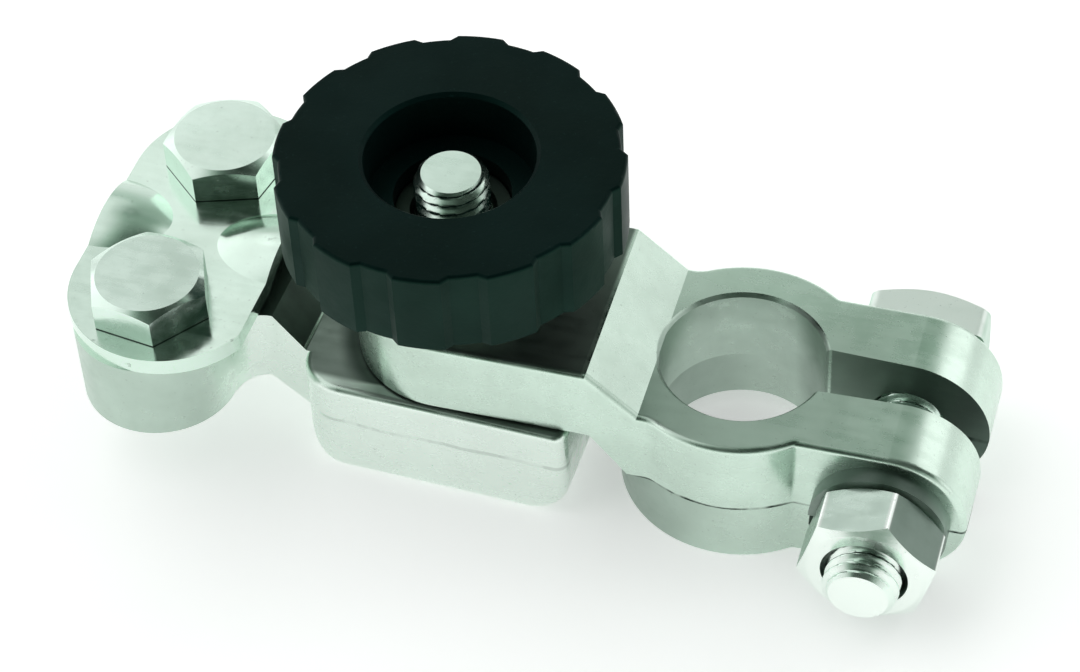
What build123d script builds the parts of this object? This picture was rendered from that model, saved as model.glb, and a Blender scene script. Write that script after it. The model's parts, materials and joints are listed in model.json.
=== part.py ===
from build123d import *
import math
import os

os.makedirs("parts", exist_ok=True)

# Quick-disconnect battery terminal clamp, in millimetres. The origin is on the battery post's
# axis, level with the clamp bolt; +X points to the bolt and +Z up the post. Unscrewing the knob
# lets the cable arm drop away from the contact plate, which breaks the circuit.

# ------------------------------------------------------------------ post clamp casting
collar_radius = 13.4
collar_half_height = 8.6
lower_inset = 0.22            # how far the lower die half stands in from the upper one
seam_z = -0.7                 # height of the step between the two die halves
post_radius = 8.85
post_lead_in = 2.0
post_top_edge = 0.4
bolt_hole_radius = 4.25
ear_half_width = 10.7
ear_end_x = 26.3
slot_half_root = 3.1
slot_half_tip = 2.45
bolt_x = 17.3
ear_fillet = 1.0
neck_fillet = 3.5
casting_edge = 0.7
lower_casting_edge = 0.4

# ------------------------------------------------------------------ contact plate of the casting
stud_x = -31.06
plate_half_width = 11.25
plate_top_z = 13.5
plate_bottom_z = 4.5
ramp_top_x = -14.1
ramp_foot_x = -8.65
neck_bottom_top_x = -13.9
neck_bottom_foot_x = -9.8

# ------------------------------------------------------------------ cable arm casting
arm_yaw = -2.4                # the arm swivels on the stud and rests turned by this much
block_left = -15.45
block_right = 15.25
block_half_width = 11.8
block_top_z = 4.2
block_base_z = -collar_half_height
block_left_corner = 5.0
block_right_corner = 1.4
block_toe_radius = 4.8
block_top_edge = 0.8
block_low_edge = 1.3
arm_half_width = 7.3
arm_top_z = 8.5
boss_bottom_z = -0.6
arm_bottom_z = -0.9
arm_bend_x = -19.0
arm_toe_x = -14.6
arm_toe_z = -5.4
arm_heel_x = -20.0
arm_root_x = -11.0
saddle_x = -31.08
saddle_bolt_y = 11.0
boss_x = -31.25
boss_radius = 8.6
boss_top_z = 9.2
boss_fillet = 3.6
trough_half_width = 3.8
trough_mouth = 4.6            # half width at the very top, where the edges flare
trough_axis_z = boss_top_z - trough_half_width
trough_end_x = -22.2

# ------------------------------------------------------------------ saddle plate
saddle_thickness = 2.0
saddle_mid_x = -30.1
saddle_end_y = 8.6
saddle_end_radius = 10.9
saddle_right_x = -20.2
saddle_hole_radius = 4.35
flute_rise = 1.5
flute_half_width = 5.3
flute_length = 7.5
flute_waist_share = 0.6       # how far in the flute's waist lies, as a share of its length
flute_waist_drop = 0.36       # how far it has sunk there, as a share of its rise

# ------------------------------------------------------------------ M8 fasteners
thread_radius = 4.0
thread_hole_radius = 4.05
thread_end_bevel = 0.85
corner_slope = math.tan(math.radians(30))
hex_disc_share = 0.93         # flat disc left on a hexagon's face, as a share of its flats
square_disc_share = 0.97
bolt_head_flats = 12.0
bolt_head_height = 4.2
bolt_length = 11.6
saddle_front_turn = -68.5
saddle_rear_turn = -42.0
square_head_flats = 13.0
square_head_height = 5.4
square_corner_radius = 1.0
clamp_bolt_end_y = -22.0
nut_flats = 13.0
nut_height = 6.4
nut_mouth_radius = 4.6
lock_washer_radius = 7.3
lock_washer_bore = 4.15
lock_washer_thickness = 2.0
lock_washer_gap = 1.2
lock_washer_cut_angle = 30
clamp_nut_turn = 14.4

# ------------------------------------------------------------------ stud, bush and spring
stud_head_z = -8.2
stud_head_height = 5.3
stud_top_z = 28.4
stud_pocket_flats = 13.2
stud_hole_radius = 4.05
bush_radius = 6.0
bush_bore = 4.1
bush_flange_radius = 6.35
bush_flange_height = 1.2
bush_hole_radius = 6.05
spring_well_radius = 6.6
spring_well_floor = 0.1
spring_wire = 1.0
spring_radius = 5.25

# ------------------------------------------------------------------ knob
thrust_washer_radius = 10.0
thrust_washer_bore = 4.4
thrust_washer_height = 1.5
knob_top_z = 30.96
knob_skirt_z = 21.2
knob_radius = 17.65
knob_pad_radius = 18.3
knob_pad_width = 4.6
knob_pad_foot = 5.8
knob_pad_count = 12
knob_pad_turn = 6.3
knob_recess_radius = 8.97
knob_recess_foot = 8.8
knob_recess_floor = 25.2
knob_window_radius = 6.2      # round opening over the moulded-in nut
knob_hub_radius = 10.5
knob_hollow_radius = 15.0
knob_hollow_top = 27.5
knob_rib_width = 1.4
knob_rib_count = 6
knob_edge = 0.4
knob_nut_height = 6.5
knob_nut_z = 16.7
knob_nut_turn = 17.0
knob_pocket_flats = 13.1

# ------------------------------------------------------------------ derived frames and sizes
yaw = math.radians(arm_yaw)
arm_plane = Plane(origin=(stud_x, 0, 0), x_dir=(math.cos(yaw), math.sin(yaw), 0), z_dir=(0, 0, 1))
arm_side = Plane(origin=(stud_x, 0, 0), x_dir=arm_plane.x_dir, z_dir=-arm_plane.y_dir)
stud_plane = Plane(origin=(stud_x, 0, 0))
stud_side = Plane(origin=(stud_x, 0, 0), x_dir=(1, 0, 0), z_dir=(0, -1, 0))
stud_axis = Axis((stud_x, 0, 0), (0, 0, 1))
ear_round_x = ear_end_x - collar_half_height
plate_end_x = stud_x - plate_half_width
stud_seat_z = stud_head_z + stud_head_height
hub_base_z = plate_top_z + thrust_washer_height
pad_slope = (knob_pad_foot - knob_pad_width) / 2 / (knob_pad_radius - knob_radius)
knob_pad_flare = knob_pad_width / 2 + pad_slope * (knob_pad_radius - knob_hollow_radius)
spring_top_z = plate_bottom_z - bush_flange_height
spring_turns = 2.0
spring_rise = spring_top_z - spring_well_floor - spring_wire
trough_flare_z = boss_top_z + trough_half_width - trough_mouth
trough_end = arm_side.from_local_coords((trough_end_x, 0, 0))
trough_plane = Plane(origin=trough_end, x_dir=arm_plane.y_dir, z_dir=arm_plane.x_dir)
saddle_seat_z = boss_top_z + saddle_thickness
flute_outer_radius = (flute_half_width**2 + flute_rise**2) / (2 * flute_rise)
flute_axis_z = saddle_seat_z + flute_rise - flute_outer_radius
saddle_edges = ((saddle_mid_x - saddle_end_radius, 1), (saddle_right_x, -1))
saddle_bolt_turns = {-1: saddle_front_turn, 1: saddle_rear_turn}
nut_back_y = -ear_half_width - lock_washer_thickness
square_head_y = ear_half_width + square_head_height
square_head_reach = square_head_flats / math.sqrt(2)
square_head_disc = square_disc_share * square_head_flats / 2
square_head_drop = (square_head_reach - square_head_disc) * corner_slope


def turned_blank(plane, flats, sides, height, turn=0.0, both_ends=False):
    """Start a part with a prism of equal flats whose corners are turned off at 30 degrees."""
    corner = flats / 2 / math.cos(math.pi / sides)
    disc = hex_disc_share * flats / 2
    drop = (corner - disc) * corner_slope
    foot = [(disc, 0), (corner, drop)] if both_ends else [(corner, 0)]
    with BuildSketch(plane) as outline:
        RegularPolygon(flats / 2, sides, major_radius=False, rotation=turn)
    extrude(outline.sketch, amount=height)
    side = Plane(origin=plane.origin, x_dir=plane.x_dir, z_dir=-plane.y_dir)
    with BuildSketch(side) as turned:
        with BuildLine():
            Polyline((0, 0), *foot, (corner, height - drop), (disc, height), (0, height), close=True)
        make_face()
    revolve(turned.sketch, axis=Axis(plane.origin, plane.z_dir), mode=Mode.INTERSECT)


def bevelled_shank(plane, radius, length, bevel):
    """Add a plain shank from a plane, with its far end bevelled as a thread starts."""
    with BuildSketch(plane) as section:
        Circle(radius)
    extrude(section.sketch, amount=length - bevel)
    with BuildSketch(plane.offset(length - bevel)) as bevel_root:
        Circle(radius)
    extrude(bevel_root.sketch, amount=bevel, taper=45)


def flute_body(edge_x, inward, radius):
    """Add a spindle about the flute's axis: full size at the plate's edge, drawn in to its tip."""
    tip_x = edge_x + inward * flute_length
    waist_x = edge_x + inward * flute_waist_share * flute_length
    with BuildSketch(arm_side) as half:
        with BuildLine():
            Polyline(
                (tip_x, flute_axis_z + radius - flute_rise),
                (tip_x, flute_axis_z),
                (edge_x, flute_axis_z),
                (edge_x, flute_axis_z + radius),
            )
            ThreePointArc(
                (edge_x, flute_axis_z + radius),
                (waist_x, flute_axis_z + radius - flute_waist_drop * flute_rise),
                (tip_x, flute_axis_z + radius - flute_rise),
            )
        make_face()
    axis_point = arm_side.from_local_coords((0, flute_axis_z, 0))
    revolve(half.sketch, axis=Axis(axis_point, arm_side.x_dir))


def keep_above(height):
    """Cut away everything in the part that lies below a height."""
    with BuildSketch(arm_plane.offset(height)) as field:
        with Locations((saddle_mid_x, 0)):
            Rectangle(4 * saddle_end_radius, 4 * saddle_end_radius)
    extrude(field.sketch, amount=collar_radius, mode=Mode.INTERSECT)


def nut_hole_profile(axis_x, back_y, front_y):
    """Half section of a nut's hole, countersunk at both faces."""
    sink = nut_mouth_radius - thread_hole_radius
    return [
        (axis_x, back_y),
        (axis_x + nut_mouth_radius, back_y),
        (axis_x + thread_hole_radius, back_y - sink),
        (axis_x + thread_hole_radius, front_y + sink),
        (axis_x + nut_mouth_radius, front_y),
        (axis_x, front_y),
    ]


def level_edge(edge):
    """True for an edge that is neither upright nor square across the casting."""
    direction = edge.tangent_at(0.5)
    return abs(direction.Z) < 0.999 and (edge.geom_type == GeomType.CIRCLE or abs(direction.Y) < 0.999)


def rim_edge(edge):
    """True for an edge of the cable arm's block that is neither upright nor square across it."""
    direction = edge.tangent_at(0.5)
    return abs(direction.Z) < 0.98 and (edge.geom_type != GeomType.LINE or abs(direction.X) > 0.1)


def ear_corners(plan):
    """Corners in plan where the ears leave the collar."""
    return plan.vertices().filter_by(lambda v: 1 < v.X < collar_radius and abs(v.Y) > post_radius)


# ------------------------------------------------------------------ post clamp
# Upper die half: contact plate, neck, collar and ears share one outline in plan.
with BuildPart() as clamp_upper_half:
    with BuildSketch(Plane.XY.offset(seam_z)) as upper_plan:
        Circle(collar_radius)
        with Locations((stud_x, 0)):
            Circle(plate_half_width)
        with Locations((stud_x / 2, 0)):
            Rectangle(-stud_x, 2 * plate_half_width)
        with Locations((ear_end_x / 2, 0)):
            Rectangle(ear_end_x, 2 * ear_half_width)
        fillet(ear_corners(upper_plan), ear_fillet)
        fillet(upper_plan.vertices().filter_by(lambda v: -post_radius < v.X < -1), neck_fillet)
    extrude(amount=plate_top_z - seam_z)
    # Side profile: the plate stands above the collar, with a ramp and rounded ear ends.
    with BuildSketch(Plane.XZ):
        with BuildLine():
            Polyline(
                (ear_round_x, collar_half_height),
                (ramp_foot_x, collar_half_height),
                (ramp_top_x, plate_top_z),
                (plate_end_x, plate_top_z),
                (plate_end_x, plate_bottom_z),
                (neck_bottom_top_x, plate_bottom_z),
                (neck_bottom_foot_x, seam_z),
                (ear_end_x, seam_z),
                (ear_end_x, 0),
            )
            RadiusArc((ear_end_x, 0), (ear_round_x, collar_half_height), -collar_half_height)
        make_face()
    extrude(amount=collar_radius, both=True, mode=Mode.INTERSECT)
    # The collar runs full height behind the ramp under the neck.
    with BuildSketch(Plane.XY.offset(seam_z)):
        Circle(collar_radius)
    extrude(amount=collar_half_height - seam_z)
    upper_edges = clamp_upper_half.edges().filter_by(lambda e: e.center().Z > plate_bottom_z + 0.1)
    fillet(upper_edges.filter_by(level_edge), casting_edge)

# Lower die half: collar and ears only, standing in from the upper half by the mould step.
with BuildPart() as clamp_lower_half:
    with BuildSketch(Plane.XY.offset(-collar_half_height)) as lower_plan:
        Circle(collar_radius - lower_inset)
        with Locations((ear_end_x / 2, 0)):
            Rectangle(ear_end_x, 2 * (ear_half_width - lower_inset))
        fillet(ear_corners(lower_plan), ear_fillet)
    extrude(amount=seam_z + collar_half_height)
    with BuildSketch(Plane.XZ):
        with Locations((ear_end_x, -collar_half_height)):
            Rectangle(2 * collar_half_height, 2 * collar_half_height)
        with Locations((ear_round_x, 0)):
            Circle(collar_half_height, mode=Mode.SUBTRACT)
    extrude(amount=collar_radius, both=True, mode=Mode.SUBTRACT)
    lower_edges = clamp_lower_half.edges().filter_by(lambda e: e.center().Z < seam_z - 0.1)
    fillet(lower_edges.filter_by(level_edge), lower_casting_edge)

with BuildPart() as post_clamp:
    add(clamp_upper_half.part)
    add(clamp_lower_half.part)
    # Bore for the battery post, with a lead-in below and a broken edge above.
    with BuildSketch(Plane.XZ):
        with BuildLine():
            Polyline(
                (0, -collar_half_height),
                (post_radius + post_lead_in, -collar_half_height),
                (post_radius, post_lead_in - collar_half_height),
                (post_radius, collar_half_height - post_top_edge),
                (post_radius + post_top_edge, collar_half_height),
                (0, collar_half_height),
                close=True,
            )
        make_face()
    revolve(axis=Axis.Z, mode=Mode.SUBTRACT)
    # Slot that lets the two ears close on the post.
    with BuildSketch(Plane.XY) as slot:
        with BuildLine():
            Polyline(
                (post_radius - 3, -slot_half_root),
                (ear_end_x + 1, -slot_half_tip),
                (ear_end_x + 1, slot_half_tip),
                (post_radius - 3, slot_half_root),
                close=True,
            )
        make_face()
    extrude(amount=collar_half_height, both=True, mode=Mode.SUBTRACT)
    with BuildSketch(Plane.XZ):
        with Locations((bolt_x, 0)):
            Circle(bolt_hole_radius)
    extrude(amount=collar_radius, both=True, mode=Mode.SUBTRACT)
    # Hole in the contact plate for the insulating bush.
    with BuildSketch(stud_plane.offset(plate_bottom_z)):
        Circle(bush_hole_radius)
    extrude(amount=plate_top_z - plate_bottom_z, mode=Mode.SUBTRACT)
post_clamp.part.label = "post_clamp"
export_step(post_clamp.part, "parts/post_clamp.step")

# ------------------------------------------------------------------ clamp bolt, washer and nut
bolt_seat = Plane(origin=(bolt_x, ear_half_width, 0), x_dir=(1, 0, 0), z_dir=(0, 1, 0))
nut_seat = Plane(origin=(bolt_x, nut_back_y, 0), x_dir=(1, 0, 0), z_dir=(0, -1, 0))
washer_seat = Plane(origin=(bolt_x, -ear_half_width, 0), x_dir=(1, 0, 0), z_dir=(0, -1, 0))

with BuildPart() as clamp_bolt:
    with BuildSketch(bolt_seat):
        RectangleRounded(square_head_flats, square_head_flats, square_corner_radius)
    extrude(amount=square_head_height)
    # The head's outer corners are turned off, which leaves curved edges on its four flats.
    with BuildSketch(Plane.XY):
        with BuildLine():
            Polyline(
                (bolt_x, ear_half_width),
                (bolt_x + square_head_reach, ear_half_width),
                (bolt_x + square_head_reach, square_head_y - square_head_drop),
                (bolt_x + square_head_disc, square_head_y),
                (bolt_x, square_head_y),
                close=True,
            )
        make_face()
    revolve(axis=Axis((bolt_x, 0, 0), (0, 1, 0)), mode=Mode.INTERSECT)
    shank_plane = bolt_seat.rotated((180, 0, 0))
    bevelled_shank(shank_plane, thread_radius, ear_half_width - clamp_bolt_end_y, thread_end_bevel)
clamp_bolt.part.label = "clamp_bolt"
export_step(clamp_bolt.part, "parts/clamp_bolt.step")

with BuildPart() as clamp_lock_washer:
    with BuildSketch(washer_seat):
        Circle(lock_washer_radius)
        Circle(lock_washer_bore, mode=Mode.SUBTRACT)
    extrude(amount=lock_washer_thickness)
    # The spring washer is split by a slanting cut.
    with BuildSketch(Plane.YZ.offset(bolt_x)):
        with Locations((nut_back_y + lock_washer_thickness / 2, 0)):
            Rectangle(2 * lock_washer_thickness, lock_washer_gap, rotation=lock_washer_cut_angle)
    extrude(amount=-lock_washer_radius, mode=Mode.SUBTRACT)
clamp_lock_washer.part.label = "clamp_lock_washer"
export_step(clamp_lock_washer.part, "parts/clamp_lock_washer.step")

with BuildPart() as clamp_nut:
    turned_blank(nut_seat, nut_flats, 6, nut_height, clamp_nut_turn, both_ends=True)
    with BuildSketch(Plane.XY):
        with BuildLine():
            Polyline(*nut_hole_profile(bolt_x, nut_back_y, nut_back_y - nut_height), close=True)
        make_face()
    revolve(axis=Axis((bolt_x, 0, 0), (0, 1, 0)), mode=Mode.SUBTRACT)
clamp_nut.part.label = "clamp_nut"
export_step(clamp_nut.part, "parts/clamp_nut.step")

# ------------------------------------------------------------------ cable arm
# The block under the contact plate: rounded toes at both ends and soft lower edges.
with BuildPart() as contact_block:
    with BuildSketch(arm_side) as block_side:
        with BuildLine():
            Polyline(
                (block_left, block_top_z),
                (block_left, block_base_z),
                (block_right, block_base_z),
                (block_right, block_top_z),
                close=True,
            )
        make_face()
        fillet(block_side.vertices().group_by(Axis.Y)[0], block_toe_radius)
    extrude(amount=block_half_width, both=True)
    with BuildSketch(arm_plane.offset(block_base_z)) as block_plan:
        with BuildLine():
            Polyline(
                (block_left, -block_half_width),
                (block_right, -block_half_width),
                (block_right, block_half_width),
                (block_left, block_half_width),
                close=True,
            )
        make_face()
        fillet(block_plan.vertices().group_by(Axis.X)[0], block_left_corner)
        fillet(block_plan.vertices().group_by(Axis.X)[-1], block_right_corner)
    extrude(amount=block_top_z - block_base_z, mode=Mode.INTERSECT)
    top_edges = contact_block.edges().filter_by(lambda e: e.center().Z > block_top_z - 0.1)
    fillet(top_edges, block_top_edge)
    low_edges = contact_block.edges().filter_by(lambda e: e.center().Z < boss_bottom_z - 1)
    fillet(low_edges.filter_by(rim_edge), block_low_edge)

with BuildPart() as cable_arm:
    # Arm and cable seat share one outline in plan, and the side profile steps down to the block.
    with BuildSketch(arm_plane.offset(arm_toe_z - 1)) as arm_plan:
        with Locations(((boss_x + arm_root_x) / 2, 0)):
            Rectangle(arm_root_x - boss_x, 2 * arm_half_width)
        with Locations((boss_x, 0)):
            Rectangle(2 * boss_radius, 2 * saddle_bolt_y)
        with Locations((boss_x, saddle_bolt_y), (boss_x, -saddle_bolt_y)):
            Circle(boss_radius)
        waist = arm_plan.vertices().filter_by(lambda v: abs(v.Y) < saddle_bolt_y - 1)
        fillet(waist.filter_by(lambda v: v.X < arm_root_x - 1), boss_fillet)
    extrude(amount=boss_top_z - arm_toe_z + 1)
    with BuildSketch(arm_side) as arm_profile:
        with BuildLine():
            Polyline(
                (boss_x - boss_radius, boss_bottom_z),
                (boss_x - boss_radius, boss_top_z),
                (boss_x + boss_radius, boss_top_z),
                (boss_x + boss_radius, arm_top_z),
                (arm_bend_x, arm_top_z),
                (block_left, block_top_z),
                (arm_root_x, block_top_z),
                (arm_root_x, arm_toe_z),
                (arm_toe_x, arm_toe_z),
                (arm_heel_x, arm_bottom_z),
                (boss_x + boss_radius, arm_bottom_z),
                (boss_x + boss_radius, boss_bottom_z),
                close=True,
            )
        make_face()
    extrude(amount=saddle_bolt_y + boss_radius, both=True, mode=Mode.INTERSECT)
    add(contact_block.part)
    # Threaded holes for the two saddle bolts, and the trough that the cable lies in.
    with BuildSketch(arm_plane.offset(boss_bottom_z)):
        with Locations((saddle_x, saddle_bolt_y), (saddle_x, -saddle_bolt_y)):
            Circle(thread_hole_radius)
    extrude(amount=boss_top_z - boss_bottom_z, mode=Mode.SUBTRACT)
    with BuildSketch(trough_plane):
        with Locations((0, trough_axis_z)):
            Circle(trough_half_width)
        Polygon(
            (-trough_half_width, trough_axis_z),
            (trough_half_width, trough_axis_z),
            (trough_half_width, trough_flare_z),
            (trough_mouth, boss_top_z),
            (-trough_mouth, boss_top_z),
            (-trough_half_width, trough_flare_z),
            align=None,
        )
    extrude(amount=boss_x - boss_radius - trough_end_x, mode=Mode.SUBTRACT)
    # Pocket for the stud's head below, its hole, and the well for the spring above.
    with BuildSketch(stud_plane.offset(block_base_z)):
        RegularPolygon(stud_pocket_flats / 2, 6, major_radius=False, rotation=arm_yaw)
    extrude(amount=stud_seat_z - block_base_z, mode=Mode.SUBTRACT)
    with BuildSketch(stud_plane.offset(stud_seat_z)):
        Circle(stud_hole_radius)
    extrude(amount=block_top_z - stud_seat_z, mode=Mode.SUBTRACT)
    with BuildSketch(stud_plane.offset(spring_well_floor)):
        Circle(spring_well_radius)
    extrude(amount=block_top_z - spring_well_floor, mode=Mode.SUBTRACT)
cable_arm.part.label = "cable_arm"
export_step(cable_arm.part, "parts/cable_arm.step")

# ------------------------------------------------------------------ stud, bush and spring
with BuildPart() as stud:
    head_plane = Plane(origin=(stud_x, 0, stud_seat_z), z_dir=(0, 0, -1))
    turned_blank(head_plane, nut_flats, 6, stud_head_height, -arm_yaw)
    shank_length = stud_top_z - stud_seat_z
    bevelled_shank(stud_plane.offset(stud_seat_z), thread_radius, shank_length, thread_end_bevel)
stud.part.label = "stud"
export_step(stud.part, "parts/stud.step")

with BuildPart() as insulating_bush:
    with BuildSketch(stud_side):
        with BuildLine():
            Polyline(
                (bush_bore, spring_top_z),
                (bush_flange_radius, spring_top_z),
                (bush_flange_radius, plate_bottom_z),
                (bush_radius, plate_bottom_z),
                (bush_radius, plate_top_z),
                (bush_bore, plate_top_z),
                close=True,
            )
        make_face()
    revolve(axis=stud_axis)
insulating_bush.part.label = "insulating_bush"
export_step(insulating_bush.part, "parts/insulating_bush.step")

with BuildPart() as contact_spring:
    coil_plane = stud_plane.offset(spring_well_floor + spring_wire / 2)
    with BuildLine(coil_plane):
        coil = Helix(spring_rise / spring_turns, spring_rise, spring_radius)
    with BuildSketch(Plane(origin=coil @ 0, z_dir=coil % 0)):
        Circle(spring_wire / 2)
    sweep()
contact_spring.part.label = "contact_spring"
export_step(contact_spring.part, "parts/contact_spring.step")

with BuildPart() as thrust_washer:
    with BuildSketch(stud_plane.offset(plate_top_z)):
        Circle(thrust_washer_radius)
        Circle(thrust_washer_bore, mode=Mode.SUBTRACT)
    extrude(amount=thrust_washer_height)
thrust_washer.part.label = "thrust_washer"
export_step(thrust_washer.part, "parts/thrust_washer.step")

# ------------------------------------------------------------------ knob and its nut
with BuildPart() as knob:
    # Grip: a ring of raised pads with sloping flanks.
    with BuildSketch(stud_plane.offset(knob_skirt_z)):
        with PolarLocations(0, knob_pad_count, start_angle=knob_pad_turn):
            Polygon(
                (knob_hollow_radius, -knob_pad_flare),
                (knob_pad_radius, -knob_pad_width / 2),
                (knob_pad_radius, knob_pad_width / 2),
                (knob_hollow_radius, knob_pad_flare),
                align=None,
            )
        Circle(knob_pad_radius, mode=Mode.INTERSECT)
        Circle(knob_radius)
    extrude(amount=knob_top_z - knob_skirt_z)
    fillet(knob.edges().group_by(Axis.Z)[-1], knob_edge)
    # Moulded hollow under the top, with ribs from the hub to the skirt.
    with BuildSketch(stud_plane.offset(knob_skirt_z)):
        Circle(knob_hollow_radius)
        Circle(knob_hub_radius, mode=Mode.SUBTRACT)
        with PolarLocations(knob_hollow_radius - 2, knob_rib_count, start_angle=knob_pad_turn):
            Rectangle(2 * knob_hub_radius, knob_rib_width, mode=Mode.SUBTRACT)
    extrude(amount=knob_hollow_top - knob_skirt_z, mode=Mode.SUBTRACT)
    # Hub down to the thrust washer.
    with BuildSketch(stud_plane.offset(hub_base_z)):
        Circle(knob_hub_radius)
    extrude(amount=knob_skirt_z - hub_base_z)
    # Round recess in the top, and the space of the nut that is moulded in under a round window.
    with BuildSketch(stud_side):
        with BuildLine():
            Polyline(
                (0, knob_recess_floor),
                (knob_recess_foot, knob_recess_floor),
                (knob_recess_radius, knob_top_z - knob_edge),
                (knob_recess_radius + knob_edge, knob_top_z),
                (0, knob_top_z),
                close=True,
            )
        make_face()
    revolve(axis=stud_axis, mode=Mode.SUBTRACT)
    with BuildSketch(stud_plane.offset(knob_nut_z)):
        RegularPolygon(knob_pocket_flats / 2, 6, major_radius=False, rotation=knob_nut_turn)
    extrude(amount=knob_nut_height, mode=Mode.SUBTRACT)
    with BuildSketch(stud_plane.offset(knob_nut_z)):
        Circle(knob_window_radius)
    extrude(amount=knob_recess_floor - knob_nut_z, mode=Mode.SUBTRACT)
    with BuildSketch(stud_plane.offset(hub_base_z)):
        Circle(thrust_washer_bore)
    extrude(amount=knob_nut_z - hub_base_z, mode=Mode.SUBTRACT)
knob.part.label = "knob"
export_step(knob.part, "parts/knob.step")

with BuildPart() as knob_nut:
    nut_plane = stud_plane.offset(knob_nut_z)
    turned_blank(nut_plane, nut_flats, 6, knob_nut_height, knob_nut_turn, both_ends=True)
    with BuildSketch(stud_side):
        with BuildLine():
            Polyline(*nut_hole_profile(0, knob_nut_z + knob_nut_height, knob_nut_z), close=True)
        make_face()
    revolve(axis=stud_axis, mode=Mode.SUBTRACT)
knob_nut.part.label = "knob_nut"
export_step(knob_nut.part, "parts/knob_nut.step")

# ------------------------------------------------------------------ saddle plate and bolts
with BuildPart() as flutes:
    for edge_x, inward in saddle_edges:
        flute_body(edge_x, inward, flute_outer_radius)
    keep_above(boss_top_z)

with BuildPart() as flute_hollows:
    for edge_x, inward in saddle_edges:
        flute_body(edge_x, inward, flute_outer_radius - saddle_thickness)

with BuildPart() as saddle_plate:
    with BuildSketch(arm_plane.offset(boss_top_z)):
        with Locations((saddle_mid_x, saddle_end_y), (saddle_mid_x, -saddle_end_y)):
            Circle(saddle_end_radius)
        with Locations((saddle_mid_x, 0)):
            Rectangle(2 * saddle_end_radius, 2 * saddle_end_y)
        with Locations((saddle_right_x + saddle_end_radius, 0)):
            Rectangle(2 * saddle_end_radius, 4 * saddle_end_radius, mode=Mode.SUBTRACT)
    extrude(amount=saddle_thickness)
    add(flutes.part)
    add(flute_hollows.part, mode=Mode.SUBTRACT)
    with BuildSketch(arm_plane.offset(boss_top_z)):
        with Locations((saddle_x, saddle_bolt_y), (saddle_x, -saddle_bolt_y)):
            Circle(saddle_hole_radius)
    extrude(amount=saddle_thickness, mode=Mode.SUBTRACT)
saddle_plate.part.label = "saddle_plate"
export_step(saddle_plate.part, "parts/saddle_plate.step")

for side, name in ((-1, "saddle_bolt_front"), (1, "saddle_bolt_rear")):
    bolt_origin = arm_plane.from_local_coords((saddle_x, side * saddle_bolt_y, saddle_seat_z))
    head_plane = Plane(origin=bolt_origin, x_dir=(1, 0, 0), z_dir=(0, 0, 1))
    with BuildPart() as saddle_bolt:
        turned_blank(head_plane, bolt_head_flats, 6, bolt_head_height, saddle_bolt_turns[side])
        shank_plane = Plane(origin=bolt_origin, x_dir=(1, 0, 0), z_dir=(0, 0, -1))
        bevelled_shank(shank_plane, thread_radius, bolt_length, thread_end_bevel)
    saddle_bolt.part.label = name
    export_step(saddle_bolt.part, f"parts/{name}.step")
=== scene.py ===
import json
import math
from functools import reduce

import bmesh
import bpy
from mathutils import Euler, Matrix, Vector


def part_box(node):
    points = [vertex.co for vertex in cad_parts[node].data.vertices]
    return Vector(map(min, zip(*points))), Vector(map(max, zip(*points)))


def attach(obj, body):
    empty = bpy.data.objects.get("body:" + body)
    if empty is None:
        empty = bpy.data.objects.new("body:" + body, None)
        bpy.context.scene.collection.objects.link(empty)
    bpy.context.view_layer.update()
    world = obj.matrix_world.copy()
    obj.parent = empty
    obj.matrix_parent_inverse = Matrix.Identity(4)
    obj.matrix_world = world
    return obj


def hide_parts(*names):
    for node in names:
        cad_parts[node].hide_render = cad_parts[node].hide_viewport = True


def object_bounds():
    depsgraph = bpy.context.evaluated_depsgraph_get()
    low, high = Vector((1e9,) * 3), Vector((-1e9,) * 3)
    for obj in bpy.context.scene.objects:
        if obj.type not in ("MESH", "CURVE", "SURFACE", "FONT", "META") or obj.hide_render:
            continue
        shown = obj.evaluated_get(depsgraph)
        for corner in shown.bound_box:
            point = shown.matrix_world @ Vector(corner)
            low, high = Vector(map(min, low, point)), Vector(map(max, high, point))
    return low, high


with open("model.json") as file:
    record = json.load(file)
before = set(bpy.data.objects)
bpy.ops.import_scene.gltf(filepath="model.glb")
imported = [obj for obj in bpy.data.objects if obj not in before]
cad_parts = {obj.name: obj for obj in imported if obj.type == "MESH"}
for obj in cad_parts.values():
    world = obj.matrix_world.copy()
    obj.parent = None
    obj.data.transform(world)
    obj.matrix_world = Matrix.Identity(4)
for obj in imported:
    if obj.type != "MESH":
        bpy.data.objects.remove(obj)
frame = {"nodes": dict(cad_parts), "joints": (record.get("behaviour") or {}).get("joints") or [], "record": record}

cad_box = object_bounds()
scene = bpy.context.scene
MM = 0.001


# ---------------------------------------------------------------- places from the frame, in mm
def joint_place(name):
    """Where a joint's axis starts."""
    joint = next(joint for joint in frame["joints"] if joint["name"] == name)
    return [length / MM for length in joint["pos_m"]]


FLOOR_Z = cad_box[0].z / MM
PLATE_TOP_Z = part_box("post_clamp")[1].z / MM
STUD_X = joint_place("knob_turn")[0]
BOLT_X, SQUARE_HEAD_Y, _ = joint_place("clamp_bolt_turn")
NUT_BACK_Y = joint_place("clamp_nut_turn")[1]
SADDLE_SEAT_Z = joint_place("front_bolt_turn")[2]

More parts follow.
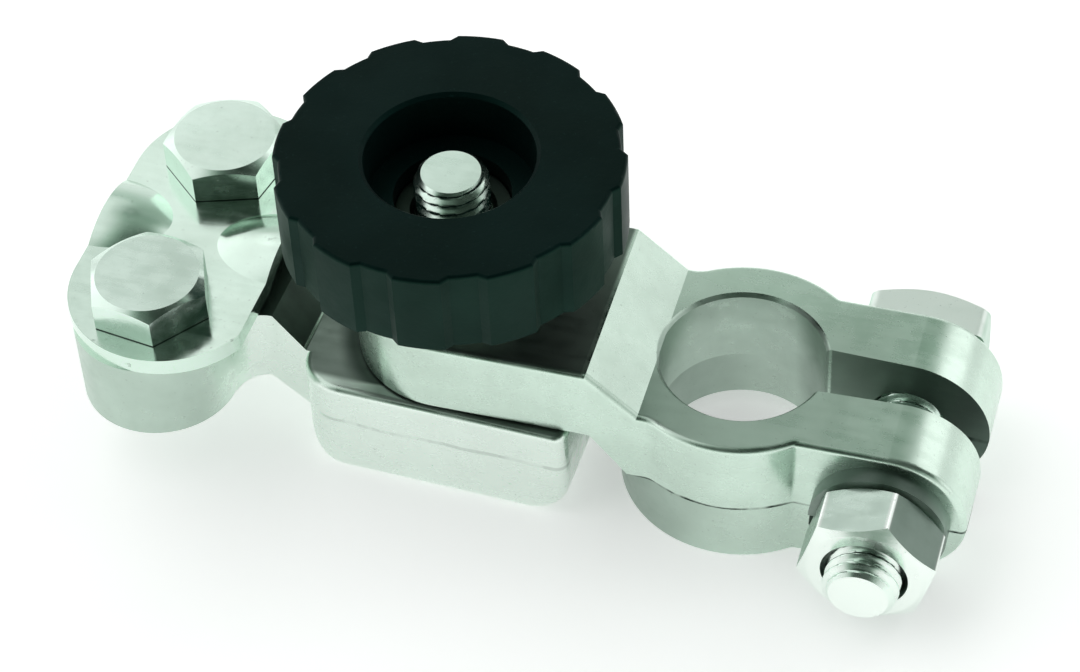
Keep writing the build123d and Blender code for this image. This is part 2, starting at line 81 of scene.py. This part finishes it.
# ---------------------------------------------------------------- places on the castings, in mm
SEAM_Z = -0.78            # mould parting line round both castings
SEAM_CORE = 0.12          # half width of its dirt
SEAM_EDGE = 0.36          # half width at which the dirt has faded out
COLLAR_X = -14.0          # the post clamp's collar lies beyond this
COLLAR_WALL = 10.0        # the collar's outside is farther than this from the post's axis
BORE_WALL = 9.0           # the bore's wall is nearer to the post's axis than this
SLOT_X = 9.0              # the slot between the ears lies beyond this
SLOT_HALF_WIDTH = 3.15
PLATE_END_X = -14.7       # the plate under the knob ends here and its ramp begins
BLOCK_TOP_Z = 4.2
BLOCK_FRONT_Y = -11.0     # the block's front face lies before this
BLOCK_SIDE_TOP_Z = 4.4    # just above the block's top face
ARM_TURN = 2.4            # degrees by which the arm rests turned
NECK_X = -43.5            # the arm's neck lies before this
NECK_TOP_Z = 9.0          # and below this
BOSS_X = -53.0            # the neck ends here and the two bosses begin
BOSS_WALL_X = -57.0       # the bosses' outer walls lie before this
CABLE_END_X = -45.0       # the plate and the bolts over the cable lie before this
HANDLED_X = -63.0         # the plate is worn by hands before this

# ---------------------------------------------------------------- painted reflection and shade of the black knob, in mm
KNOB_SHADE_REACH = 19.4         # how far the block's painted shade goes from the stud's axis
KNOB_SHADE_CORE = 11.8          # it is at its darkest as far as this
KNOB_SHADE_OUTER = 0.72         # its strength farther out
KNOB_SHADE_FRONT_Y = -9.6       # it lies behind this, in the arm's own turned frame
LEDGE_FRONT_Y = -11.5     # on the ledge under the plate it comes forward to this
LEDGE_X = STUD_X - 6      # and the ledge lies beyond this
NECK_KNOB_SHADE_REACH = 24.0    # how far the neck's painted shade goes from the stud's axis

# ---------------------------------------------------------------- fasteners, in mm
STUD_SEAT_Z = -2.9        # top of the stud's head
NUT_MOUTH = 4.62          # radius of the lead-in at the nut's mouth
NUT_EDGE = 7.36           # the nut's corners stand out beyond this radius
WASHER_HALF = 1.0         # half the lock washer's thickness
RECESS_Z = 16.0           # fasteners round the stud above this stand in the knob
RECESS_WALL = 12.0        # the knob's recess is nearer to the stud's axis than this
THREAD_RADIUS = 3.99
SHANK_EDGE = THREAD_RADIUS + 0.1
THREAD_PITCH = 1.25
THREAD_DEPTH = 0.62
THREAD_BEVEL = 0.85
THREAD_CREST = 0.12       # share of the pitch that is flat at the crest
THREAD_FLANK = 0.72       # share of the pitch that slopes
THREAD_SIDES = 72
THREAD_STEPS = 14         # rows of points in each turn
STUB = 0.02               # shank that stays on a head, so that its thread starts inside it
SHARP_ANGLE = 24          # in degrees, on every piece

# ---------------------------------------------------------------- colours, linear, darker one first
CAST_TONES = (0.59, 0.72, 0.63), (0.68, 0.83, 0.73)
ROLLED_TONES = (0.66, 0.81, 0.71), (0.72, 0.88, 0.78)
STEEL_TONES = (0.65, 0.79, 0.70), (0.74, 0.89, 0.80)
WIRE_TONES = (0.42, 0.45, 0.43), (0.50, 0.53, 0.50)
NYLON_TONES = (0.72, 0.69, 0.60), (0.80, 0.78, 0.70)
FLOOR_TONES = (0.90, 0.90, 0.90), (0.93, 0.93, 0.93)
# The knob's black as a lit copy for its sides and a darker copy for its top and recess, as painted light and
# shade.
KNOB_LIT_SIDE_TONES = (0.006, 0.017, 0.0125), (0.009, 0.025, 0.0185)
KNOB_SHADED_TOP_TONES = (0.0006, 0.0030, 0.0029), (0.0016, 0.0062, 0.0062)
KNOB_DUST = (0.008, 0.022, 0.021)
KNOB_SHEEN = (0.16, 0.85, 0.65)
# Painted highlight colour.
PAINTED_HIGHLIGHT = (0.90, 0.97, 0.92)
# Dull metal, also used as painted shade.
DULL_AND_SHADE_COLOUR = (0.12, 0.168, 0.14)
PIT = (0.22, 0.27, 0.24)
# Grime, also used as painted shade.
GRIME_AND_SHADE_COLOUR = (0.022, 0.040, 0.030)
SHADE_TINT = (0.70, 1.0, 0.80)
WHITE = (1.0, 1.0, 1.0)

# ---------------------------------------------------------------- studio
FLOOR_REACH = 4.0         # in metres, as are the panel's size and height
PANEL_SIZE = 1.6
PANEL_HEIGHT = 1.3
PANEL_POWER = 4
# The room is lit evenly round the horizon and is dimmer overhead.
HORIZON, ZENITH, LEAST = 0.90, 0.33, 0.04
# Each soft source is a glow round one heading: (azimuth, elevation, core, edge, strength).
# A glow below zero is a dark flag or a dark part of the room.
GLOWS = (
    (-85, 42, 28, 48, 0.72),      # large soft box behind on the left
    (-26, 43, 6, 15, 0.40),       # its near edge
    (-11, 52, 3, 8, -0.16),       # gap between the boxes
    (39, 31, 8, 20, 0.72),        # soft box behind on the right
    (54, 52, 8, 22, 0.70),        # its upper corner
    (94, 22, 10, 24, 0.45),       # low strip on the right
    (104, 55, 18, 34, -0.50),     # dark ceiling on the right
    (150, 58, 30, 56, -0.20),     # dark room behind the camera
    (-178, 22, 14, 36, -0.55),    # the camera and its stand
)

# ---------------------------------------------------------------- camera, solved from the photo
CAMERA_PLACE = (52.157, -227.919, 262.837)  # in mm
CAMERA_TURN = (42.977, 2.093, 15.861)       # degrees round x, y and z
FOCAL_LENGTH = 109.1
SENSOR_WIDTH = 36.0


# ---------------------------------------------------------------- node helpers
class Nodes:
    """A shader's node tree, with short calls for what the finishes and the sky are made of."""

    def __init__(self, owner):
        owner.use_nodes = True
        self.tree = owner.node_tree

    def add(self, kind, inputs, **settings):
        """Add a node, set it up and feed its inputs, each by name or by number."""
        node = self.tree.nodes.new(kind)
        for name, value in settings.items():
            setattr(node, name, value)
        for name, value in inputs.items():
            self.feed(value, node.inputs[name])
        return node

    def feed(self, value, socket):
        """Give a socket another node's output or a constant, which for a colour has no alpha."""
        if isinstance(value, bpy.types.NodeSocket):
            self.tree.links.new(value, socket)
        elif socket.type == "RGBA":
            socket.default_value = (*value, 1)
        else:
            socket.default_value = value

    def calc(self, operation, first, second=0.0):
        node = self.add("ShaderNodeMath", {0: first, 1: second}, operation=operation)
        return node.outputs["Value"]

    def chain(self, operation, values):
        """Join several values by one operation, from left to right."""
        return reduce(lambda first, second: self.calc(operation, first, second), values)

    def times(self, *values):
        return self.chain("MULTIPLY", values)

    def plus(self, *values):
        return self.chain("ADD", values)

    def most(self, *values):
        return self.chain("MAXIMUM", values)

    def spread(self, value, first, last, start=0.3, end=0.7):
        """Map a value that goes from start to end onto first to last, with soft ends."""
        limits = {"From Min": start, "From Max": end, "To Min": first, "To Max": last}
        node = self.add("ShaderNodeMapRange", {"Value": value, **limits},
                        interpolation_type="SMOOTHSTEP")
        return node.outputs["Result"]

    def blend(self, factor, first, second):
        node = self.add("ShaderNodeMix", {"Factor": factor, "A": first, "B": second},
                        data_type="RGBA")
        return node.outputs["Result"]


class Surface(Nodes):
    """A material. Its masks go from 0 to 1, and their limits are places on the part in mm."""

    def __init__(self, name):
        self.material = bpy.data.materials.new(name)
        super().__init__(self.material)
        source = self.add("ShaderNodeTexCoord", {})
        self.place = source.outputs["Object"]
        self.x, self.y, self.z = self.split(self.place)
        self.normal_x, self.normal_y, self.normal_z = self.split(source.outputs["Normal"])

    def shade(self, inputs):
        """Feed the shader's inputs and give back the finished material."""
        for name, value in inputs.items():
            self.feed(value, self.tree.nodes["Principled BSDF"].inputs[name])
        return self.material

    def split(self, vector):
        return self.add("ShaderNodeSeparateXYZ", {"Vector": vector}).outputs

    def distance(self, first, centre, second):
        """Distance from an axis where the first coordinate is centre and the second is 0."""
        across = self.calc("SUBTRACT", first, centre * MM)
        return self.calc("SQRT", self.plus(self.times(across, across),
                                           self.times(second, second)))

    def fade(self, value, first, last, start, end):
        """Go from first to last between two limits."""
        return self.spread(value, first, last, start * MM, end * MM)

    def beyond(self, value, limit, blur=0.2):
        """0 before a limit and 1 from it on."""
        return self.fade(value, 0, 1, limit - blur, limit)

    def below(self, value, limit, blur=0.2):
        """1 up to a limit and 0 past it."""
        return self.fade(value, 1, 0, limit, limit + blur)

    def stripe(self, value, centre, core, edge):
        """1 within core of a centre, fading out at edge."""
        off_centre = self.calc("ABSOLUTE", self.calc("SUBTRACT", value, centre * MM))
        return self.fade(off_centre, 1, 0, core, edge)

    def facing_up(self, start, end):
        """Faces that look up: 0 where the normal's z is start and 1 where it is end."""
        return self.spread(self.normal_z, 0, 1, start, end)

    def noise(self, scale, detail=3.0, roughness=0.5, stretch=(1, 1, 1)):
        mapping = self.add("ShaderNodeMapping", {"Vector": self.place, "Scale": stretch})
        node = self.add("ShaderNodeTexNoise", {
            "Vector": mapping.outputs["Vector"],
            "Scale": scale,
            "Detail": detail,
            "Roughness": roughness,
        })
        return node.outputs["Fac"]

    def drift(self, scale, tones, detail=3.0, roughness=0.5):
        """A colour that wanders slowly between two tones."""
        return self.blend(self.spread(self.noise(scale, detail, roughness), 0, 1), *tones)

    def bump(self, height, depth, strength, under=None):
        """Relief of a depth in mm, which may lie over another relief."""
        inputs = {"Height": height, "Distance": depth * MM, "Strength": strength}
        if under is not None:
            inputs["Normal"] = under
        return self.add("ShaderNodeBump", inputs).outputs["Normal"]


# ---------------------------------------------------------------- finishes of metal
def finish_metal(s, tones, rough, grain, grime_and_shade, dull_and_shade=0.0, satin=0.0, painted_light=0.0):
    """Plated metal: tone and polish drift slowly, with streaks, fine pits, and grime and painted shade in the
    joins.

    rough is the least and the greatest roughness, and grain scales the relief. The last four
    are masks, in order: grime with painted shade; rough and painted darker, mostly as shade;
    satin, which is rougher but as light as the rest; and painted light.
    """
    streaks = s.noise(900, 3, 0.6, (0.12, 1, 1))
    pits = s.spread(s.noise(2400, 2, 0.7), 0, 1, 0.66, 0.76)
    # Painted highlight: lighter colour where the last mask is set.
    plated = s.blend(painted_light, s.drift(110, tones, 4, 0.6), PAINTED_HIGHLIGHT)
    # Darker colour where the dull mask is set, mostly as painted shade, and fine pits.
    speckled = s.blend(s.times(pits, 0.35), s.blend(dull_and_shade, plated, DULL_AND_SHADE_COLOUR), PIT)
    polish = s.plus(s.spread(s.noise(380, 3, 0.55), *rough), s.spread(streaks, -0.03, 0.05))
    wear = s.times(s.most(grime_and_shade, dull_and_shade), 0.25)
    waves = s.bump(s.noise(140, 2, 0.5), 0.16, 0.16 * grain)
    lines = s.bump(streaks, 0.012, 0.6 * grain, under=waves)
    # Grime and painted shade darken the colour where the first mask is set.
    return s.shade({
        "Metallic": 1.0,
        "Base Color": s.blend(grime_and_shade, speckled, GRIME_AND_SHADE_COLOUR),
        "Roughness": s.plus(polish, wear, s.times(satin, 0.32)),
        "Normal": s.bump(pits, 0.02, 0.3 * grain, under=lines),
    })


def parting_line(s):
    """Dirt along the mould's parting line: broken round the collar, fainter on the block."""
    broken = s.spread(s.noise(300, 3, 0.6, (1, 1, 0.2)), 0.3, 1, 0.36, 0.56)
    wander = s.spread(s.noise(130, 2, 0.5), -0.2 * MM, 0.2 * MM)
    line = s.stripe(s.plus(s.z, wander), SEAM_Z, SEAM_CORE, SEAM_EDGE)
    outside_bore = s.beyond(s.distance(s.x, 0, s.y), COLLAR_WALL)
    collar = s.times(s.beyond(s.x, COLLAR_X, 0.5), outside_bore)
    block = s.times(s.below(s.y, BLOCK_FRONT_Y, 0.5), 0.22)
    return s.times(line, broken, s.most(collar, block))


def painted_knob_shade(s):
    """Painted reflection and shade of the black knob: darker colour on the faces that look up at its underside."""
    from_stud = s.distance(s.x, STUD_X, s.y)
    arm_slope = math.tan(math.radians(ARM_TURN))
    arm_y = s.plus(s.y, s.times(s.calc("SUBTRACT", s.x, STUD_X * MM), arm_slope))
    on_block = s.stripe(s.z, BLOCK_TOP_Z, 0.1, 0.2)
    inner = s.times(s.below(from_stud, KNOB_SHADE_CORE, 2.2), 1 - KNOB_SHADE_OUTER)
    block_top = s.times(on_block, s.below(from_stud, KNOB_SHADE_REACH, 2.6),
                        s.plus(KNOB_SHADE_OUTER, inner), s.beyond(arm_y, KNOB_SHADE_FRONT_Y, 1.0))
    ledge = s.times(on_block, s.beyond(s.x, LEDGE_X, 4), s.below(s.x, COLLAR_X),
                    s.beyond(arm_y, LEDGE_FRONT_Y, 0.3), 0.75)
    neck = s.times(s.below(s.x, STUD_X, 0.5), s.beyond(s.z, BLOCK_TOP_Z + 0.4),
                   s.below(s.z, NECK_TOP_Z), s.below(from_stud, NECK_KNOB_SHADE_REACH, 2.5))
    plate = s.times(s.stripe(s.z, PLATE_TOP_Z, 0.1, 0.2), s.below(s.x, PLATE_END_X, 0.5), 0.8)
    return s.times(s.facing_up(0.3, 0.6), s.most(block_top, ledge, neck, plate), 0.95)


def rougher_shaded_casting(s):
    """Painted shade on a casting, which is also rougher there: bore, slot, the collar's top and foot, and the
    bosses' walls.
    """
    from_middle = s.calc("ABSOLUTE", s.y)
    from_ears = s.calc("ABSOLUTE", s.normal_y)
    on_collar = s.beyond(s.x, COLLAR_X)
    bore = s.times(s.below(s.distance(s.x, 0, s.y), BORE_WALL),
                   s.most(s.fade(s.y, 0.6, 0.17, -6, 8), s.fade(s.x, 0, 0.5, 2, 7)))
    slot = s.times(s.below(from_middle, SLOT_HALF_WIDTH, 0.1), s.beyond(s.x, SLOT_X),
                   s.spread(from_ears, 0, 1, 0.6, 0.9), s.fade(s.x, 0.62, 1, 12, 20))
    top = s.times(on_collar, s.below(s.z, PLATE_TOP_Z - 1), s.facing_up(0.93, 0.98),
                  s.fade(s.y, 1, 0, 0, 8), s.fade(s.x, 0.33, 0.15, 2, 18))
    foot = s.times(on_collar, s.below(s.z, SEAM_Z), s.fade(s.x, 0.5, 0.08, -9, 4))
    boss = s.times(s.below(s.x, BOSS_WALL_X, 4), s.spread(s.normal_z, 0.32, 0, 0.3, 0.6))
    return s.most(bore, slot, top, foot, boss)


def cast_nickel(name):
    """Nickel on a casting, with painted shade under the knob and painted light on the sides of the arm."""
    s = Surface(name)
    # Dirt along the parting line, and painted reflection and shade of the knob.
    grime_and_shade = s.most(parting_line(s), painted_knob_shade(s))
    # Painted light: the arm's sides get a lighter colour.
    arm = s.times(s.below(s.x, COLLAR_X), s.beyond(s.x, BOSS_X, 3))
    low_or_neck = s.most(s.below(s.z, BLOCK_SIDE_TOP_Z), s.below(s.x, NECK_X, 0.5))
    lit_arm_sides = s.times(arm, low_or_neck, s.spread(s.normal_z, 0.6, 0, 0.5, 0.8))
    return finish_metal(s, CAST_TONES, rough=(0.21, 0.30), grain=1.0, grime_and_shade=grime_and_shade,
                        dull_and_shade=rougher_shaded_casting(s), painted_light=lit_arm_sides)


def worn_top(s):
    """Handled tops at the front of the cable's end, a little duller than the rear ones."""
    return s.times(s.below(s.x, CABLE_END_X), s.facing_up(0.93, 0.98),
                   s.fade(s.y, 0.22, 0, -8, 4))


def rolled_nickel(name):
    """Nickel on pressed sheet: smoother than the castings, with stray smudges."""
    s = Surface(name)
    smudges = s.spread(s.noise(700, 3, 0.7), 0, 0.35, 0.66, 0.76)
    return finish_metal(s, ROLLED_TONES, rough=(0.13, 0.22), grain=0.5, grime_and_shade=smudges,
                        dull_and_shade=s.times(worn_top(s), s.below(s.x, HANDLED_X, 6)))


def plated_steel(name):
    """Plated fasteners: painted shade under the heads, in the nut's mouth, in the knob's recess and on the lock
    washer's top; a dull lock washer; painted shade on the nut's side; painted highlights on the nut's ends and
    corners and on the square head's top.
    """
    s = Surface(name)
    from_bolt = s.distance(s.x, BOLT_X, s.z)
    from_stud = s.distance(s.x, STUD_X, s.y)
    at_ears = s.beyond(s.x, 0)
    before_washer = s.times(s.below(s.y, NUT_BACK_Y, 0.05), at_ears)

    # Painted shade: under the saddle bolts' heads, in the nut's mouth, in the knob's recess and on the lock
    # washer's top.
    under_heads = s.stripe(s.z, SADDLE_SEAT_Z, 0.08, 0.2)
    mouth = s.times(s.stripe(from_bolt, (NUT_MOUTH + THREAD_RADIUS) / 2, 0.24, 0.34),
                    before_washer)
    in_knob = s.times(s.beyond(s.z, RECESS_Z), s.beyond(from_stud, SHANK_EDGE, 0.05), 0.97)
    washer = s.times(s.stripe(s.y, NUT_BACK_Y + WASHER_HALF, WASHER_HALF, WASHER_HALF + 0.03),
                     at_ears, s.beyond(from_bolt, SHANK_EDGE, 0.05), 0.8)
    washer_top = s.times(washer, s.spread(s.normal_z, 0, 0.75, 0.3, 0.9))

    # Painted shade on the nut's side, and painted highlights on its ends, its corners and the square head's top.
    corners = s.times(before_washer, s.beyond(from_bolt, NUT_EDGE, 0.1))
    ends = s.times(before_washer, s.spread(s.normal_y, 1, 0, -0.95, -0.5))
    nut_side = s.times(before_washer, s.beyond(from_bolt, NUT_MOUTH + 0.3),
                       s.below(from_bolt, NUT_EDGE, 0.1),
                       s.spread(s.calc("ABSOLUTE", s.normal_y), 1, 0, 0.1, 0.4),
                       s.spread(s.normal_x, 0.35, 0.85, 0.1, 0.5))
    square_head = s.times(s.beyond(s.y, SQUARE_HEAD_Y), at_ears)
    head_top = s.times(square_head, s.facing_up(0.6, 0.95))
    return finish_metal(s, STEEL_TONES, rough=(0.15, 0.26), grain=0.6,
                        grime_and_shade=s.most(under_heads, mouth, in_knob, washer_top),
                        dull_and_shade=s.most(nut_side, washer, worn_top(s)),
                        satin=square_head, painted_light=s.most(ends, corners, head_top))


def spring_wire(name):
    """Bare spring steel, a little stained."""
    s = Surface(name)
    return finish_metal(s, WIRE_TONES, rough=(0.25, 0.35), grain=0.3,
                        grime_and_shade=s.spread(s.noise(900, 2), 0, 0.4))


# ---------------------------------------------------------------- other finishes
def moulded_black(name):
    """Black plastic with a cool tint: painted darker on top and in the recess as shade, lighter and greener round
    its grip as painted light.
    """
    s = Surface(name)
    recess = s.below(s.distance(s.x, STUD_X, s.y), RECESS_WALL, 0.5)
    top = s.most(s.facing_up(0.3, 0.8), recess)
    # Lit and shaded copies of the black: painted shade on top and in the recess.
    clean = s.blend(top, s.drift(120, KNOB_LIT_SIDE_TONES), s.drift(90, KNOB_SHADED_TOP_TONES))
    dust = s.spread(s.noise(2600, 2, 0.7), 0, 0.5, 0.62, 0.76)
    return s.shade({
        "Base Color": s.blend(dust, clean, KNOB_DUST),
        "Roughness": s.spread(s.noise(160, 3), 0.42, 0.56),
        "Normal": s.bump(s.noise(1500, 3, 0.6), 0.05, 0.4),
        "Specular IOR Level": 0.13,
        "Specular Tint": KNOB_SHEEN,
    })


def nylon(name):
    """Natural nylon of the bush that keeps the stud off the plate."""
    s = Surface(name)
    return s.shade({
        "Base Color": s.blend(s.noise(500, 2), *NYLON_TONES),
        "Roughness": s.spread(s.noise(300, 2), 0.4, 0.55),
    })


def pale_floor(name):
    """A floor that is lit softly from within, as a light table is."""
    s = Surface(name)
    return s.shade({
        "Base Color": s.blend(s.noise(30, 2), *FLOOR_TONES),
        "Roughness": 0.9,
        "Specular IOR Level": 0.1,
        "Emission Color": WHITE,
        "Emission Strength": 0.42,
    })


finishes = {
    "nickel_casting": cast_nickel("nickel_casting"),
    "nickel_plate": rolled_nickel("nickel_plate"),
    "plated_steel": plated_steel("plated_steel"),
    "spring_steel": spring_wire("spring_steel"),
    "black_nylon": moulded_black("black_nylon"),
    "nylon": nylon("nylon"),
}


# ---------------------------------------------------------------- pieces
def smooth(mesh):
    """Smooth shading, with sharp edges kept crisp."""
    for face in mesh.polygons:
        face.use_smooth = True
    mesh.set_sharp_from_angle(angle=math.radians(SHARP_ANGLE))


def add_object(name, data):
    thing = bpy.data.objects.new(name, data)
    scene.collection.objects.link(thing)
    return thing


body_of = {node: body for body, members in frame["record"]["behaviour"]["bodies"].items()
           for node in members}

for entry in frame["record"]["subparts"]:
    mesh = frame["nodes"][entry["node"]].data
    mesh.materials.clear()
    mesh.materials.append(finishes[entry["material_slot"]])
    smooth(mesh)


# ---------------------------------------------------------------- threads
def thread_radius(along, turn, length):
    """Radius of a coarse screw thread at a distance along it, with its far end bevelled."""
    phase = (along / THREAD_PITCH - turn / (2 * math.pi)) % 1.0
    flank = min(1.0, max(0.0, (abs(2 * phase - 1) - THREAD_CREST) / THREAD_FLANK))
    run_out = THREAD_RADIUS - THREAD_BEVEL + (length - along)
    return min(THREAD_RADIUS - THREAD_DEPTH * flank, run_out)


def threaded_shank(bm, seat, along, length):
    """Add a closed threaded shank that leaves its seat in the direction along."""
    across = along.orthogonal().normalized()
    third = along.cross(across)
    count = round(length / THREAD_PITCH * THREAD_STEPS)
    rows = []
    for i in range(count + 1):
        height = length * i / count
        row = []
        for j in range(THREAD_SIDES):
            turn = 2 * math.pi * j / THREAD_SIDES
            outward = across * math.cos(turn) + third * math.sin(turn)
            spot = seat + along * height + outward * thread_radius(height, turn, length)
            row.append(bm.verts.new(spot * MM))
        rows.append(row)
    for low, high in zip(rows, rows[1:]):
        for j in range(THREAD_SIDES):
            k = (j + 1) % THREAD_SIDES
            bm.faces.new((low[j], low[k], high[k], high[j]))
    bm.faces.new(list(reversed(rows[0])))
    bm.faces.new(rows[-1])


def thread_fastener(name, seat, direction):
    """Replace a fastener by its own head with a threaded shank as long as its plain one."""
    seat, along = Vector(seat), Vector(direction)
    length = max((corner / MM - seat).dot(along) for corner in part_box(name))
    bm = bmesh.new()
    bm.from_mesh(frame["nodes"][name].data)
    bmesh.ops.bisect_plane(bm, geom=bm.verts[:] + bm.edges[:] + bm.faces[:],
                           plane_co=(seat + along * STUB) * MM, plane_no=along, clear_outer=True)
    threaded_shank(bm, seat, along, length)
    mesh = bpy.data.meshes.new(name + "_threaded")
    bm.to_mesh(mesh)
    bm.free()
    mesh.materials.append(finishes["plated_steel"])
    smooth(mesh)
    piece = add_object(name + "_threaded", mesh)
    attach(piece, body_of[name])
    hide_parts(name)


thread_fastener("stud", (STUD_X, 0, STUD_SEAT_Z), (0, 0, 1))
thread_fastener("clamp_bolt", joint_place("clamp_bolt_turn"), (0, -1, 0))
thread_fastener("saddle_bolt_front", joint_place("front_bolt_turn"), (0, 0, -1))
thread_fastener("saddle_bolt_rear", joint_place("rear_bolt_turn"), (0, 0, -1))

# ---------------------------------------------------------------- floor
corners = [(-FLOOR_REACH, -FLOOR_REACH, 0), (FLOOR_REACH, -FLOOR_REACH, 0),
           (FLOOR_REACH, FLOOR_REACH, 0), (-FLOOR_REACH, FLOOR_REACH, 0)]
floor_mesh = bpy.data.meshes.new("floor")
floor_mesh.from_pydata(corners, [], [(0, 1, 2, 3)])
floor_mesh.materials.append(pale_floor("pale_floor"))
floor = add_object("floor", floor_mesh)
floor.location = (0, 0, FLOOR_Z * MM)


# ---------------------------------------------------------------- light
def heading(azimuth, elevation):
    """Unit vector into the studio: azimuth 0 is behind the object and 90 to its right."""
    a, e = math.radians(azimuth), math.radians(elevation)
    return Vector((math.sin(a) * math.cos(e), math.cos(a) * math.cos(e), math.sin(e)))


def studio(name):
    """The room round the object: its glows on a plain gradient, greener where it is dark."""
    world = bpy.data.worlds.new(name)
    sky = Nodes(world)
    looked_in = sky.add("ShaderNodeTexCoord", {}).outputs["Generated"]

    def near(azimuth, elevation):
        """Cosine of the angle between the direction looked in and a heading."""
        dot = sky.add("ShaderNodeVectorMath", {0: looked_in, 1: heading(azimuth, elevation)},
                      operation="DOT_PRODUCT")
        return dot.outputs["Value"]

    level = sky.spread(near(0, 90), HORIZON, ZENITH, 0.05, 0.85)
    for azimuth, elevation, core, edge, strength in GLOWS:
        outside, inside = math.cos(math.radians(edge)), math.cos(math.radians(core))
        glow = sky.spread(near(azimuth, elevation), 0, strength, outside, inside)
        level = sky.plus(level, glow)
    background = sky.tree.nodes["Background"]
    tint = sky.blend(sky.spread(level, 0, 1, 0.1, 1.0), SHADE_TINT, WHITE)
    sky.feed(tint, background.inputs["Color"])
    sky.feed(sky.most(level, LEAST), background.inputs["Strength"])
    return world


scene.world = studio("studio")

# A wide panel overhead whitens the floor and stays out of the metal's reflections.
panel = bpy.data.lights.new("overhead_panel", "AREA")
panel.shape = "SQUARE"
panel.size = PANEL_SIZE
panel.energy = PANEL_POWER
overhead = add_object("overhead_panel", panel)
overhead.location = (0, 0, PANEL_HEIGHT)
overhead.visible_glossy = False

# ---------------------------------------------------------------- camera
lens = bpy.data.cameras.new("camera")
lens.sensor_width = SENSOR_WIDTH
lens.lens = FOCAL_LENGTH
lens.clip_start = 0.01
lens.clip_end = 50
camera = add_object("camera", lens)
turn = Euler([math.radians(angle) for angle in CAMERA_TURN])
camera.matrix_world = Matrix.LocRotScale(Vector(CAMERA_PLACE) * MM, turn, None)
scene.camera = camera
scene.view_settings.view_transform = "Standard"
